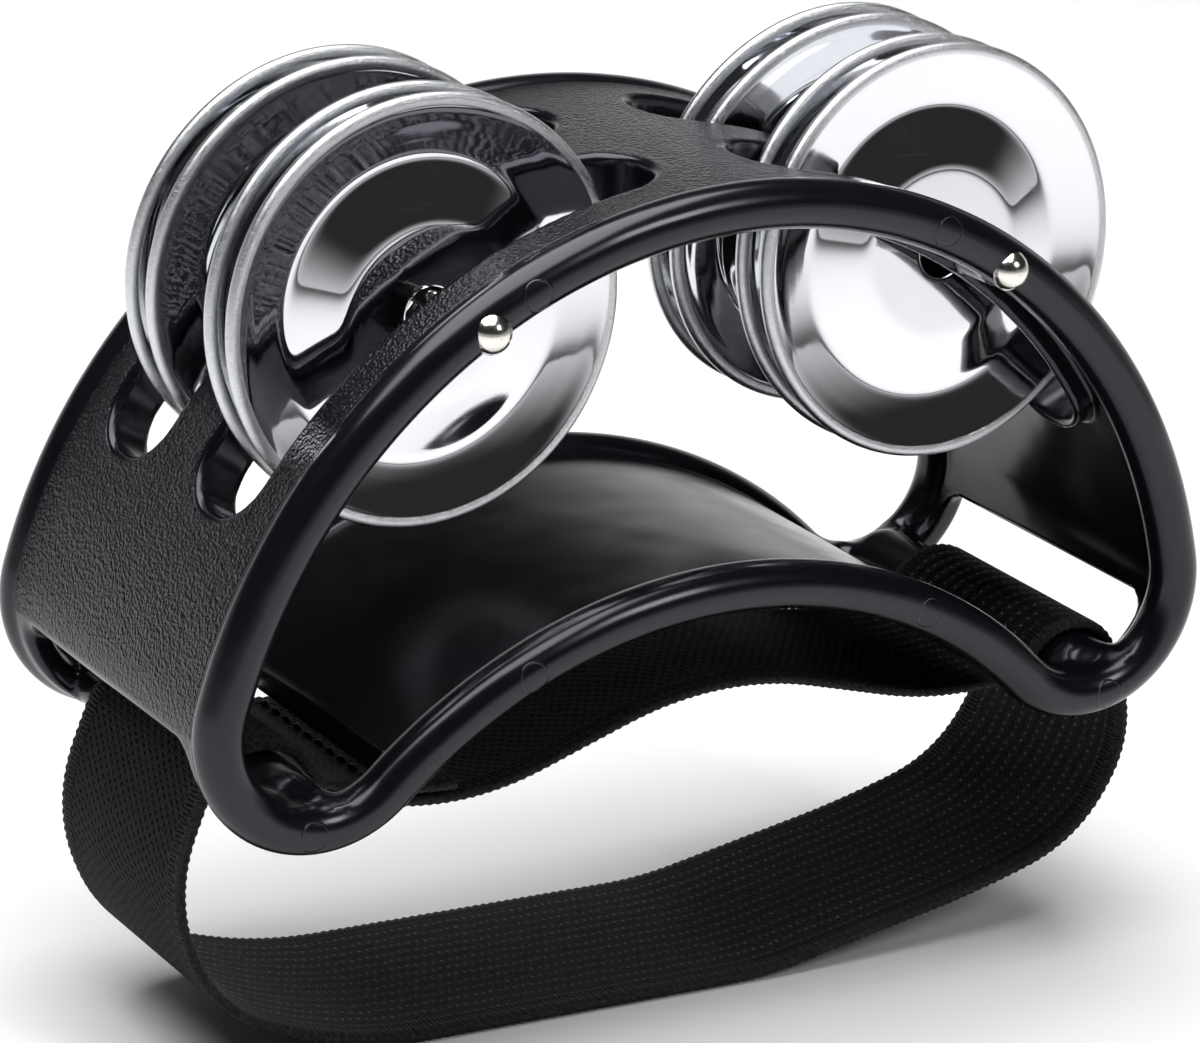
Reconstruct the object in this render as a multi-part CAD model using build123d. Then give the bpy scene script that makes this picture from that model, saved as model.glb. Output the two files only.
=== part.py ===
from build123d import *
from math import atan2, cos, degrees, radians, sin, sqrt, tan
import os

# Foot tambourine: a moulded jingle frame worn on top of a shoe, held by an elastic strap.
# X runs from the left lobe to the right lobe, Y from the front rim to the rear rim and +Z is up.
# The origin is on the surface the strap loop rests on, under the middle of the frame.
# All lengths are in millimetres.

# Frame profile: four tangent arcs in the XZ plane, along the middle of the rim bead.
ARCH_R = 70.0
LOBE_R = 13.3
SADDLE_R = 67.0
LOBE_X = 55.0
LOBE_Z = 48.7
ARCH_Z = LOBE_Z - sqrt((ARCH_R - LOBE_R) ** 2 - LOBE_X**2)
SADDLE_Z = LOBE_Z - sqrt((SADDLE_R + LOBE_R) ** 2 - LOBE_X**2)

# Rim beads and the wall between them.
BEAD_R = 3.05
BEAD_Y = 25.8
WALL_OUT = 2.3
WALL_IN = 1.0
WALL_END_Z = 46.5
SADDLE_END_X = 44.4
WINDOW_Y = 21.3

# Jingle slots: angles are measured from straight up, about the centre of the arch.
SLOT_FROM = 5.3
SLOT_TO = 60.4
SLOT_Y = 11.5
SLOT_WIDTH = 13.0
SLOT_END_R = 6.2
COLLAR = 1.6
COLLAR_DEPTH = 3.0
COLLAR_SINK = 0.5
RIB_END_R = 1.0

# Strap bars, one along the bottom of each lobe.
BAR_X = 57.5
BAR_R = 5.7
BAR_TOP = 41.2
BAR_Z = BAR_TOP - BAR_R

# Jingle pins.
PIN_ANGLE = 31.6
PIN_AT_R = 69.2
PIN_R = 1.25
PIN_TIP_Y = 27.3
HEAD_R = 2.5
HEAD_HEIGHT = 2.1
HEAD_SEAT_Y = -28.1
HEAD_GAP = 0.05
TIP_CHAMFER = 0.4
BOSS_R = 2.6
PIN_X = PIN_AT_R * sin(radians(PIN_ANGLE))
PIN_Z = ARCH_Z + PIN_AT_R * cos(radians(PIN_ANGLE))

# Jingle discs. Heights are along the disc's axis, from the plane of its rim towards its dome.
DISC_R = 26.0
HOLE_R = 3.2
SHEET = 0.5
CENTRE_R = 11.0
CENTRE_HEIGHT = 1.5
VALLEY_R = 18.2
VALLEY_HEIGHT = -0.9
RIM_R = 1.25
PIN_GAP = 0.15
HANG = HOLE_R - PIN_R - PIN_GAP
OUTER_Y = 12.3
INNER_Y = 7.9
DISC_Z = PIN_Z - HANG
LEAN = {"left": 3.0, "right": 4.5}

# Strap: a loop of elastic webbing. It is set a little further forward at its right end.
STRAP = 1.6
STRAP_WIDTH = 32.0
STRAP_REACH = 68.0
STRAP_SKEW = 5.0
STRAP_OVER_BAR = BAR_R + 0.2 + STRAP / 2
STRAP_TOP = BAR_Z + STRAP_OVER_BAR
LAP_X = -38.5
LAP_LENGTH = 15.0
THREAD_R = 0.3
STITCH = 2.2
STITCH_ROWS = 4
STITCHES = 10
STITCH_MARGIN = 4.0

# The ends of the run behind the left bar, where the strap is lapped.
BEHIND_BAR = (-48.0, 32.5, 5.0)
BEFORE_CREST = (-28.0, 31.0, None)

# The strap's route in X and Z: over the right bar, down and along the ground, up and over the
# left bar, and back under the saddle. A corner with no radius bends as widely as its runs allow.
STRAP_ROUTE = [
    (62.4, STRAP_TOP, STRAP_OVER_BAR - 0.1),
    (68.6, 25.5, None),
    (61.0, 12.0, None),
    (46.0, 7.2, None),
    (15.0, STRAP / 2, 50.0),
    (-42.0, STRAP / 2, None),
    (-61.5, 8.0, None),
    (-68.6, 24.5, None),
    (-62.4, STRAP_TOP, STRAP_OVER_BAR - 0.1),
    (-53.6, STRAP_TOP, STRAP_OVER_BAR),
    BEHIND_BAR,
    BEFORE_CREST,
    (5.0, 43.2, 45.0),
    (36.0, 35.4, None),
    (50.0, 36.0, 4.0),
    (53.6, STRAP_TOP, STRAP_OVER_BAR),
]


def profile_arc(centre_x, centre_z, radius, start, end, offset=0.0):
    """One arc of the frame profile, in degrees from +X towards +Z, moved outwards by offset."""
    return CenterArc((centre_x, centre_z), radius + offset, start, end - start)


def frame_outline(offset=0.0):
    """The closed profile of the frame in the XZ plane, moved outwards by offset."""
    arch = degrees(atan2(LOBE_Z - ARCH_Z, LOBE_X))
    saddle = degrees(atan2(LOBE_Z - SADDLE_Z, LOBE_X))
    arcs = Curve() + [
        profile_arc(0, ARCH_Z, ARCH_R, arch, 180 - arch, offset),
        profile_arc(-LOBE_X, LOBE_Z, LOBE_R, 180 - arch, 360 - saddle, offset),
        profile_arc(0, SADDLE_Z, SADDLE_R, saddle, 180 - saddle, -offset),
        profile_arc(LOBE_X, LOBE_Z, LOBE_R, saddle - 180, arch, offset),
    ]
    return Wire(arcs.edges())


def across(face_or_sketch, y_from, y_to):
    """A flat shape drawn in X and Z, made solid from y_from to y_to."""
    lying = Plane((0, y_to, 0), x_dir=(1, 0, 0), z_dir=(0, -1, 0)) * face_or_sketch
    return extrude(lying, y_to - y_from)


def sector(r_in, r_out, angle_from, angle_to, y_mid, width, end_r):
    """A block bent round the centre of the arch, with its four radial edges rounded."""
    start, end = 90 - angle_to, 90 - angle_from
    outer = CenterArc((0, 0), r_out, start, end - start)
    inner = CenterArc((0, 0), r_in, start, end - start)
    sides = [Line(inner @ 0, outer @ 0), Line(inner @ 1, outer @ 1)]
    face = make_face(Curve() + [outer, inner] + sides)
    block = across(face, y_mid - width / 2, y_mid + width / 2)
    ends = [e for e in block.edges().filter_by(GeomType.LINE) if abs((e % 0.5).Y) < 0.01]
    return Pos(0, 0, ARCH_Z) * fillet(ends, end_r)


def slots(r_in, r_out, grow):
    """The four jingle slots, each grown outwards on every side."""
    turn = degrees(grow / ARCH_R)
    found = []
    for side in (-1, 1):
        for y in (-SLOT_Y, SLOT_Y):
            first, last = sorted((side * (SLOT_FROM - turn), side * (SLOT_TO + turn)))
            found.append(sector(r_in, r_out, first, last, y, SLOT_WIDTH + 2 * grow, SLOT_END_R + grow))
    return found


def make_bead(y):
    """A round rim that follows the whole profile at one side of the frame."""
    path = Plane((0, y, 0), x_dir=(1, 0, 0), z_dir=(0, -1, 0)) * frame_outline()
    section = Plane(path @ 0, z_dir=path % 0) * Circle(BEAD_R)
    return sweep(section, path)


def make_frame():
    """The single moulding: two beads, arch, saddle, slot collars, rib, pin bosses and strap bars."""
    wall = make_face(frame_outline(WALL_OUT)) - make_face(frame_outline(-WALL_IN))
    opening = 2 * (LOBE_R + BAR_R)
    gap = Pos(SADDLE_END_X + opening / 2, WALL_END_Z - opening / 2) * Rectangle(opening, opening)
    body = across(wall, -BEAD_Y, BEAD_Y)
    window = across(gap, -WINDOW_Y, WINDOW_Y)
    body -= [window, mirror(window, Plane.YZ)]

    rib_in = ARCH_R - WALL_IN - COLLAR_DEPTH
    skin = ARCH_R + WALL_OUT - COLLAR_SINK
    for collar in slots(rib_in, skin, COLLAR):
        body += collar
    strip = 2 * SLOT_Y - SLOT_WIDTH
    for side in (-1, 1):
        first, last = sorted((side * SLOT_FROM, side * SLOT_TO))
        body += sector(rib_in, skin, first, last, 0, strip + RIB_END_R, RIB_END_R)
    boss_from = SLOT_Y + SLOT_WIDTH / 2 + COLLAR / 2
    boss = Rot(90, 0, 0) * Cylinder(BOSS_R, BEAD_Y - boss_from)
    for x in (-PIN_X, PIN_X):
        for sign in (-1, 1):
            body += Pos(x, sign * (boss_from + BEAD_Y) / 2, PIN_Z) * boss

    through = 5 * COLLAR_DEPTH
    for slot in slots(ARCH_R - through, ARCH_R + through, 0):
        body -= slot

    lobe_inside = Pos(LOBE_X, LOBE_Z) * Circle(LOBE_R + WALL_OUT)
    bar = across(lobe_inside & (Pos(BAR_X, BAR_Z) * Circle(BAR_R)), -BEAD_Y, BEAD_Y)
    body += [bar, mirror(bar, Plane.YZ)]
    body += [make_bead(-BEAD_Y), make_bead(BEAD_Y)]

    for side in (-1, 1):
        at_pin = Pos(side * PIN_X, 0, PIN_Z)
        length = PIN_TIP_Y + 1.5 * BEAD_Y
        body -= at_pin * Pos(0, PIN_TIP_Y - length / 2, 0) * Rot(90, 0, 0) * Cylinder(PIN_R, length)
        seat = Cylinder(HEAD_R + HEAD_GAP, 2 * BEAD_R)
        body -= at_pin * Pos(0, HEAD_SEAT_Y - BEAD_R, 0) * Rot(90, 0, 0) * seat
    return body


def make_pin(side):
    """A rivet along Y: a straight shank and a domed head at the front."""
    dome_r = (HEAD_R**2 + HEAD_HEIGHT**2) / (2 * HEAD_HEIGHT)
    nose = Line((0, PIN_TIP_Y), (PIN_R - TIP_CHAMFER, PIN_TIP_Y))
    chamfer_edge = Line(nose @ 1, (PIN_R, PIN_TIP_Y - TIP_CHAMFER))
    shank = Line(chamfer_edge @ 1, (PIN_R, HEAD_SEAT_Y))
    seat = Line(shank @ 1, (HEAD_R, HEAD_SEAT_Y))
    dome = RadiusArc(seat @ 1, (0, HEAD_SEAT_Y - HEAD_HEIGHT), dome_r)
    axis = Line(dome @ 1, nose @ 0)
    half = make_face(Curve() + [nose, chamfer_edge, shank, seat, dome, axis])
    return Pos(side * PIN_X, 0, PIN_Z) * revolve(half, Axis.Y)


def make_disc():
    """A pressed jingle about the Y axis, dome towards -Y, with its rim plane at y = 0."""
    rim_x = DISC_R - RIM_R
    middle = Spline(
        (HOLE_R, -CENTRE_HEIGHT),
        (CENTRE_R - 2, -CENTRE_HEIGHT),
        (CENTRE_R + 1, -CENTRE_HEIGHT + 0.35),
        (VALLEY_R - 1.5, -VALLEY_HEIGHT - 0.3),
        (VALLEY_R, -VALLEY_HEIGHT),
        (VALLEY_R + 2, -VALLEY_HEIGHT - 0.25),
        (rim_x, -RIM_R + SHEET / 2),
        tangents=((1, 0), (1, -0.2)),
    )
    sheet = trace(middle, SHEET)
    rim = Pos(rim_x, 0) * Circle(RIM_R)
    return revolve(sheet + rim, Axis.Y)


def make_discs():
    """Eight discs in four pairs. In each pair the domes point away from each other.

    The discs hang at a slight slant, with their tops leaning towards the middle of the frame.
    """
    disc = make_disc()
    discs = {}
    for side, x in (("left", -PIN_X), ("right", PIN_X)):
        for end, turn in (("front", 0), ("rear", 180)):
            sign = -1 if end == "front" else 1
            slant = Rot(sign * LEAN[side], 0, 0)
            outer = Pos(x, sign * OUTER_Y, DISC_Z) * slant * Rot(0, 0, turn) * disc
            inner = Pos(x, sign * INNER_Y, DISC_Z) * slant * Rot(0, 0, 180 - turn) * disc
            discs[f"{side}_{end}_outer_disc"] = outer
            discs[f"{side}_{end}_inner_disc"] = inner
    return discs


def widest_bend(corners, at):
    """The radius that takes up 0.47 of the shorter run beside a corner of a closed route."""
    before = Vector(corners[at]) - Vector(corners[at - 1])
    after = Vector(corners[(at + 1) % len(corners)]) - Vector(corners[at])
    turn = radians(before.get_angle(after))
    return 0.47 * min(before.length, after.length) / tan(turn / 2)


def strap_path():
    """The middle line of the strap's thickness, in X and Z."""
    corners = [(x, z) for x, z, bend in STRAP_ROUTE]
    bends = [bend or widest_bend(corners, at) for at, (x, z, bend) in enumerate(STRAP_ROUTE)]
    return FilletPolyline(*corners, radius=bends, close=True)


def strap_ring(path, outwards, inwards):
    """The flat ring between two offsets of the strap's middle line."""
    outer = make_face(offset(path, outwards))
    inner = make_face(offset(path, -inwards))
    return outer - inner


def skewed(block):
    """Cut a block down to the strap's width, between two straight edges that run forward to the right."""
    half = STRAP_WIDTH / 2
    far = 2 * STRAP_REACH
    forward = STRAP_SKEW * (far + STRAP_REACH) / (2 * STRAP_REACH)
    backward = STRAP_SKEW * (STRAP_REACH - far) / (2 * STRAP_REACH)
    corners = [
        (-far, -half - backward),
        (far, -half - forward),
        (far, half - forward),
        (-far, half - backward),
    ]
    outline = make_face(Polyline(*corners, close=True))
    return block & (Pos(0, 0, -STRAP_REACH) * extrude(outline, 2 * far))


def lap_height(x):
    """The height of the strap's middle line at x, on the run where it is lapped."""
    slope = (BEFORE_CREST[1] - BEHIND_BAR[1]) / (BEFORE_CREST[0] - BEHIND_BAR[0])
    return BEHIND_BAR[1] + slope * (x - BEHIND_BAR[0])


def make_strap():
    """The webbing loop, doubled for a short lap where its two ends are sewn together."""
    path = strap_path()
    loop = strap_ring(path, STRAP / 2, STRAP / 2)
    band = Pos(LAP_X, lap_height(LAP_X) + STRAP) * Rectangle(LAP_LENGTH, 4 * STRAP)
    lap = strap_ring(path, 1.5 * STRAP, -STRAP / 2) & band
    return skewed(across(loop + lap, -2 * STRAP_WIDTH, 2 * STRAP_WIDTH))


def make_stitching():
    """Rows of stitches across the lap, each half sunk in the webbing."""
    pitch = (LAP_LENGTH - 2 * STITCH_MARGIN) / (STITCH_ROWS - 1)
    found = []
    for row in range(STITCH_ROWS):
        x = LAP_X + (row - (STITCH_ROWS - 1) / 2) * pitch
        z = lap_height(x) + 1.5 * STRAP
        y_mid = -STRAP_SKEW * (x + STRAP_REACH) / (2 * STRAP_REACH)
        for number in range(STITCHES):
            y = y_mid + (number - (STITCHES - 1) / 2) * (STRAP_WIDTH - STITCH_MARGIN) / STITCHES
            found.append(Pos(x, y, z) * Rot(90, 0, 0) * Cylinder(THREAD_R, STITCH))
    return Compound(children=found)


def main():
    """Write one STEP file for each piece."""
    os.makedirs("parts", exist_ok=True)
    pieces = {
        "frame": make_frame(),
        "left_pin": make_pin(-1),
        "right_pin": make_pin(1),
        **make_discs(),
        "strap": make_strap(),
        "strap_stitching": make_stitching(),
    }
    for name, piece in pieces.items():
        export_step(piece, f"parts/{name}.step")
    print("strap length", round(strap_path().length + LAP_LENGTH, 1))


main()
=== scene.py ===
import math
import bpy
import numpy as np
from mathutils import Matrix, Vector


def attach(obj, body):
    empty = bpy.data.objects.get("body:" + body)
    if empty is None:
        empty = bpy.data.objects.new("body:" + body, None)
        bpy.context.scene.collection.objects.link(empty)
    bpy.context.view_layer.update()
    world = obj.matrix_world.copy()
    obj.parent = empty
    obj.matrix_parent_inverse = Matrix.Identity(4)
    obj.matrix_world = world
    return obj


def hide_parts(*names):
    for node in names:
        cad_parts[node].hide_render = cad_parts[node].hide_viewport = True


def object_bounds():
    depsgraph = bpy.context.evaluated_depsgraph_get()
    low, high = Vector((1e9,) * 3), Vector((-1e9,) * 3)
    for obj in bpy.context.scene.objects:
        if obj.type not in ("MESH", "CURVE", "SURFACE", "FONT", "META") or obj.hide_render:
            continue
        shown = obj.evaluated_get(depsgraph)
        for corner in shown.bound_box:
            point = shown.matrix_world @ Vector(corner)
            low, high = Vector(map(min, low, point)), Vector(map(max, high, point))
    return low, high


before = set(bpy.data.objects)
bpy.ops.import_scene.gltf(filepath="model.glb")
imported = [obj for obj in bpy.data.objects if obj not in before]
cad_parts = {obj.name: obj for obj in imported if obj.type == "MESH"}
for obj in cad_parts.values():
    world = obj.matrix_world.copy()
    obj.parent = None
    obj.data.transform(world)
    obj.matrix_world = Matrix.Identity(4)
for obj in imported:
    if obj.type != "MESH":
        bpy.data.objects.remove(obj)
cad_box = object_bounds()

MM = 0.001

# ---------------------------------------------------------------- sizes, in millimetres
# The frame's profile is four tangent arcs along the middle of the rim bead.
ARCH_R = 70.0
LOBE_R = 13.3
SADDLE_R = 67.0
LOBE_X = 55.0
LOBE_Z = 48.7
ARCH_Z = LOBE_Z - math.sqrt((ARCH_R - LOBE_R) ** 2 - LOBE_X**2)
SADDLE_Z = LOBE_Z - math.sqrt((SADDLE_R + LOBE_R) ** 2 - LOBE_X**2)
ARCH_TURN = math.atan2(LOBE_X, LOBE_Z - ARCH_Z)
SADDLE_TURN = math.atan2(LOBE_X, LOBE_Z - SADDLE_Z)

BEAD_R = 3.05
BEAD_Y = 25.8
WALL_OUT = 2.3
WALL_IN = 1.0
WALL_END_Z = 46.5
SADDLE_END_X = 44.4
WINDOW_Y = 21.3
WINDOW_CORNER = 2.5
END_BEVEL = 0.45

SLOT_FROM = 5.3
SLOT_TO = 60.4
SLOT_MID = ARCH_R * math.radians((SLOT_FROM + SLOT_TO) / 2)
SLOT_HALF = ARCH_R * math.radians((SLOT_TO - SLOT_FROM) / 2)
SLOT_Y = 11.5
SLOT_HALF_WIDTH = 6.5
SLOT_END_R = 6.2
SLOT_CUT = 9.0
COLLAR = 1.6
COLLAR_DEPTH = 3.0
COLLAR_SINK = 0.5

BAR_X = 57.5
BAR_R = 5.7
BAR_Z = 35.5
BAR_END_Y = 25.0

PIN_R = 1.25
PIN_TIP_Y = 27.3
PIN_AT_R = 69.2
PIN_ANGLE = math.radians(31.6)
PIN_X = PIN_AT_R * math.sin(PIN_ANGLE)
PIN_Z = ARCH_Z + PIN_AT_R * math.cos(PIN_ANGLE)
PIN_GAP = 0.15
HEAD_R = 2.5
HEAD_SEAT_Y = -28.1
HEAD_HEIGHT = 2.1
HEAD_EDGE = 0.15
TIP_CHAMFER = 0.4
AXIS_GAP = 0.004
BOSS_R = 2.6

FRAME_CELL = 0.6
FRAME_LOW = (-74.0, -30.0, 31.0)
FRAME_HIGH = (74.0, 30.0, 109.0)
CLOSE_PASSES = 3
SETTLE_STEPS = 3
SLOPE_STEP = 0.02
BARELY_INSIDE = -0.02
WINDOW_EDGE = 1.3
SLOT_EDGE = 1.3
COLLAR_EDGE = 0.8
COLLAR_FILLET = 1.0
BOSS_FILLET = 0.8
BAR_EDGE = 1.5
BAR_END_EDGE = 4.0
BEAD_FILLET = 0.5
BAR_FILLET = 2.2
BAR_ROUND = 0.8
BAR_NEAR = 4.0
BAR_INWARD = 3.0
GRAIN_Y = 23.6
GRAIN_REACH = 0.2
SLOT_BORDER = 0.9
LIP = 1.0

# Round marks on the rims: centre and radius of the arc that each lies on, and its angle from +Z.
EJECTOR_MARKS = [
    (0.0, ARCH_Z, ARCH_R, -26.0),
    (0.0, ARCH_Z, ARCH_R, 22.0),
    (0.0, SADDLE_Z, SADDLE_R, 25.0),
    (0.0, SADDLE_Z, SADDLE_R, -25.0),
    (-LOBE_X, LOBE_Z, LOBE_R, 188.0),
    (LOBE_X, LOBE_Z, LOBE_R, 169.0),
]
MARK_R = 1.85

# Jingle discs: heights are along the disc's axis, from the plane of its rim towards its dome.
DISC_R = 26.0
HOLE_R = 3.2
SHEET = 0.5
RIM_R = 0.85
RIM_UP = 0.5
CURL_GAP = 0.35
CURL_FROM = 100
CURL_TO = -160
DISC_SHAPE = [(0.0, 1.45), (10.9, 1.5), (18.1, -0.9), (20.6, -0.28), (22.8, 0.36), (24.7, 1.08)]
KNEE = 0.55
OUTER_Y = 12.3
INNER_Y = 7.9
DISC_Z = PIN_Z - (HOLE_R - PIN_R - PIN_GAP)
LEAN = {"left": 3.0, "right": 4.5}
SEGMENTS = 192
PIN_SEGMENTS = 72
UNEVEN = 0.018
UNEVEN_FROM = 6
UNEVEN_OVER = 12
UNEVEN_TWIST = 9

# Strap: the route of its middle, with the radius of each bend where it has one of its own.
STRAP = 1.6
STRAP_WIDTH = 32.0
FACE_UP = 0.68
FACE_DOWN = 0.66
RIB_HEIGHT = 0.055
CORD_R = 0.5
CORD_BEAD = 0.17
CORD_IN = 0.67
FLAT_IN = 1.3
STRAP_REACH = 68.0
STRAP_SKEW = 5.0
STRAP_GAP = 0.2
OVER_BAR = BAR_R + STRAP_GAP + STRAP / 2
STRAP_TOP = BAR_Z + OVER_BAR
STRAP_ROUTE = [
    (62.4, STRAP_TOP, OVER_BAR - 0.1),
    (68.6, 25.5, None),
    (61.0, 12.0, None),
    (46.0, 7.2, None),
    (15.0, STRAP / 2, 50.0),
    (-42.0, STRAP / 2, None),
    (-61.5, 8.0, None),
    (-68.6, 24.5, None),
    (-62.4, STRAP_TOP, OVER_BAR - 0.1),
    (-53.6, STRAP_TOP, OVER_BAR),
    (-47.0, 33.3, 7.0),
    (-28.0, 31.0, None),
    (5.0, 43.2, 45.0),
    (36.0, 35.4, None),
    (50.0, 36.0, 4.0),
    (53.6, STRAP_TOP, OVER_BAR),
]
LAP = 15.0
LAP_X = -38.5
PICK = 1.15
PLY = 0.31
STEPS_PER_PICK = 4
BEND_STEP = 0.2
STRAP_SMOOTH = 1.0
RIB_PITCH = 2.1
RAMP = 6.0
LAP_GAP = 0.05
STITCH_ROWS = 4
STITCHES = 10
STITCH = 2.2
STITCH_EDGE = 4.0
STITCH_MARGIN = 4.0
THREAD_R = 0.3

# Materials, studio and camera. Lengths here are in metres.
GRAIN = 0.00042
GRAIN_RELIEF = 0.00024
MARK_DEPTH = 0.00006
SINK_DEPTH = 0.00022
WEAVE_DEPTH = 0.00045
FUZZ_DEPTH = 0.00008
STRETCHED_X = (0.045, 0.035)
COOL_TINT = (0.90, 0.90, 1.0, 1.0)
SMOOTH_BLACK = (0.004, 0.004, 0.006)
GRAINED_BLACK = (0.005, 0.005, 0.0065)
DUST_GREY = (0.02, 0.02, 0.023)
FACE_STEEL = (0.80, 0.81, 0.84)
RIM_STEEL = (0.66, 0.67, 0.69)
FLOOR_SIZE = 8.0
FLOOR_GAP = 0.0003
HORIZON_FRONT = 0.02
HORIZON_BACK = 0.33
SWEEP_WHITE = 0.95
CEILING_GREY = 0.024
BACKDROP_WAY = (0.5, 0.85, 0.0)
CAMERA_PLACE = (-0.31068, -0.48285, 0.25797)
CAMERA_RIGHT = (0.85215784, -0.52002755, 0.05829547)
CAMERA_AHEAD = (0.50804221, 0.79549332, -0.33027791)
CAMERA_LENS = 146.885


# ---------------------------------------------------------------- frame moulding
def soft_union(a, b, r):
    """The nearer of two distances, with the inner corner between them rounded."""
    h = np.maximum(r - np.abs(a - b), 0.0)
    return np.minimum(a, b) - h * h / (4.0 * r)


def soft_cut(a, b, r):
    """Solid a with solid b taken away, with the outer corner rounded."""
    return -soft_union(-a, b, r)


def soft_both(a, b, r):
    """Where both solids are, with the outer corner rounded."""
    return -soft_union(-a, -b, r)


def profile_offset(x, z):
    """How far a point lies outside the frame's profile, in the XZ plane."""
    x = np.abs(x)
    arch = np.hypot(x, z - ARCH_Z) - ARCH_R
    lobe = np.hypot(x - LOBE_X, z - LOBE_Z) - LOBE_R
    saddle = SADDLE_R - np.hypot(x, z - SADDLE_Z)
    on_arch = np.arctan2(x, z - ARCH_Z) < ARCH_TURN
    on_saddle = np.arctan2(x, z - SADDLE_Z) < SADDLE_TURN
    round_lobe = np.mod(np.arctan2(x - LOBE_X, z - LOBE_Z), 2 * math.pi)
    on_lobe = (round_lobe >= ARCH_TURN) & (round_lobe <= math.pi + SADDLE_TURN)
    best = np.where(on_arch, arch, 1e3)
    best = np.where(on_lobe & (np.abs(lobe) < np.abs(best)), lobe, best)
    return np.where(on_saddle & (np.abs(saddle) < np.abs(best)), saddle, best)


def slot_distance(along, across):
    """Distance to the outline of a jingle slot, on the arch laid flat."""
    q_along = np.abs(along - SLOT_MID) - (SLOT_HALF - SLOT_END_R)
    q_across = np.abs(across - SLOT_Y) - (SLOT_HALF_WIDTH - SLOT_END_R)
    outside = np.hypot(np.maximum(q_along, 0), np.maximum(q_across, 0))
    return outside + np.minimum(np.maximum(q_along, q_across), 0) - SLOT_END_R


def frame_distance(p):
    """Signed distance to the moulding, for an array of points in millimetres."""
    x, y, z = p[..., 0], p[..., 1], p[..., 2]
    side_x, side_y = np.abs(x), np.abs(y)
    off = profile_offset(x, z)
    arch_off = np.hypot(x, z - ARCH_Z) - ARCH_R
    along = ARCH_R * np.arctan2(side_x, z - ARCH_Z)

    wall = np.abs(off - (WALL_OUT - WALL_IN) / 2) - (WALL_OUT + WALL_IN) / 2
    wall = np.maximum(wall, side_y - BEAD_Y)
    past_end = z - WALL_END_Z + END_BEVEL * (WALL_OUT - off) + WINDOW_CORNER
    past_side = side_y - WINDOW_Y + WINDOW_CORNER
    window = np.hypot(np.maximum(past_end, 0), np.maximum(past_side, 0))
    window += np.minimum(np.maximum(past_end, past_side), 0) - WINDOW_CORNER
    solid = soft_cut(wall, np.maximum(SADDLE_END_X - side_x, window), WINDOW_EDGE)

    slot = slot_distance(along, side_y)
    rib_mid = (WALL_OUT - COLLAR_SINK - WALL_IN - COLLAR_DEPTH) / 2
    rib_half = (WALL_OUT - COLLAR_SINK + WALL_IN + COLLAR_DEPTH) / 2
    depth = np.abs(arch_off - rib_mid) - rib_half
    collar = soft_both(slot - COLLAR, depth, COLLAR_EDGE)
    strip = np.maximum(side_y - (SLOT_Y - SLOT_HALF_WIDTH), np.abs(along - SLOT_MID) - SLOT_HALF)
    rib = soft_both(strip, depth, COLLAR_EDGE)
    solid = soft_union(solid, soft_union(collar, rib, COLLAR_FILLET), COLLAR_FILLET)
    solid = soft_cut(solid, np.maximum(slot, np.abs(arch_off) - SLOT_CUT), SLOT_EDGE)

    boss = np.hypot(side_x - PIN_X, z - PIN_Z) - BOSS_R
    boss_from = SLOT_Y + SLOT_HALF_WIDTH + COLLAR / 2
    boss = np.maximum(boss, np.maximum(boss_from - side_y, side_y - BEAD_Y))
    solid = soft_union(solid, boss, BOSS_FILLET)

    bead = np.hypot(off, side_y - BEAD_Y) - BEAD_R
    bar = np.hypot(side_x - BAR_X, z - BAR_Z) - BAR_R
    bar = soft_both(soft_both(bar, off - WALL_OUT, BAR_EDGE), side_y - BAR_END_Y, BAR_END_EDGE)
    near_bar = np.clip(1 - np.abs(np.hypot(side_x - BAR_X, z - BAR_Z) - BAR_R) / BAR_NEAR, 0, 1)
    inward = np.clip((1 - off) / BAR_INWARD, 0, 1)
    solid = soft_union(solid, bar, BAR_ROUND)
    return soft_union(solid, bead, BEAD_FILLET + BAR_FILLET * near_bar * inward)


CORNERS = [(i, j, k) for i in (0, 1) for j in (0, 1) for k in (0, 1)]
EDGES = [
    (a, b) for a in CORNERS for b in CORNERS if sum(b) - sum(a) == 1 and np.all(np.array(b) >= a)
]


def join_diagonals(value):
    """Fill grid squares that are inside at two opposite corners only, so that the surface closes."""
    for u, v in ((0, 1), (1, 2), (0, 2)):
        views = []
        for du, dv in ((0, 0), (1, 1), (1, 0), (0, 1)):
            part = [slice(None)] * 3
            part[u] = slice(du, value.shape[u] - 1 + du)
            part[v] = slice(dv, value.shape[v] - 1 + dv)
            views.append(value[tuple(part)])
        a, b, c, d = (view < 0 for view in views)
        crossed = (a & b & ~c & ~d) | (~a & ~b & c & d)
        for view in views:
            view[crossed] = np.minimum(view[crossed], BARELY_INSIDE)


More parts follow.
